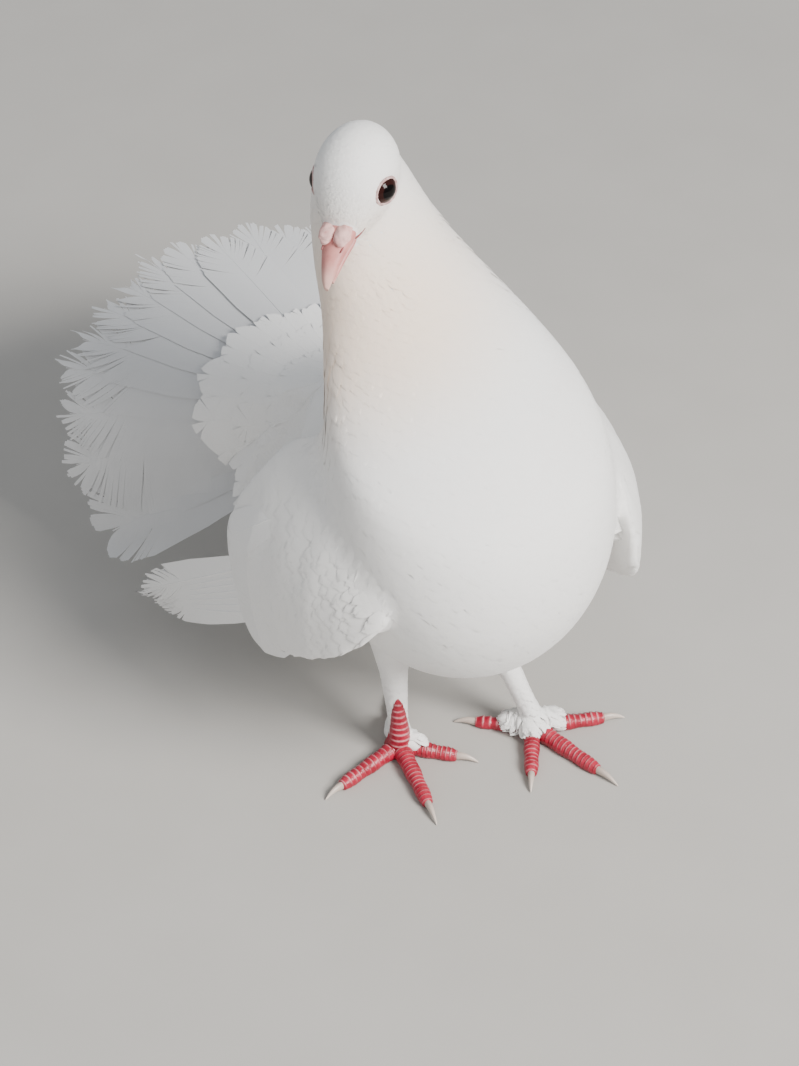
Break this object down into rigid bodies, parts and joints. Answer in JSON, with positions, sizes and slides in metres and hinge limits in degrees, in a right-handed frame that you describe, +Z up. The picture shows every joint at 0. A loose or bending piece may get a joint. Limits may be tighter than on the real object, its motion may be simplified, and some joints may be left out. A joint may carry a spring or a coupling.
{
  "type": "fantail pigeon",
  "caption": "White fantail pigeon standing with its head turned and bowed, breast thrown out, wings drooped and tail spread like an umbrella.",
  "frame": {"origin": "centre of the bounding box in plan, at the level of the soles", "axes": "-Y the way the breast faces, +Y to the tail, +X to the bird's left, +Z up"},
  "size_m": [0.1308, 0.2202, 0.2099],
  "materials": {
    "feather": "soft matt white feathers",
    "toe_skin": "scaly red skin",
    "bill": "satin horn",
    "claw": "satin horn",
    "eye": "wet gloss"
  },
  "bodies": {
    "root": {"head": "feather", "neck": "feather", "torso": "feather", "tail": "feather", "wing_left": "feather", "wing_right": "feather", "leg_left": "feather", "leg_right": "feather", "foot_left": "toe_skin", "foot_right": "toe_skin", "bill_upper": "bill", "bill_lower": "bill", "eye_left": "eye", "eye_right": "eye", "claw_left_middle": "claw", "claw_left_outer": "claw", "claw_left_inner": "claw", "claw_left_hind": "claw", "claw_right_middle": "claw", "claw_right_outer": "claw", "claw_right_inner": "claw", "claw_right_hind": "claw"}
  },
  "joints": []
}
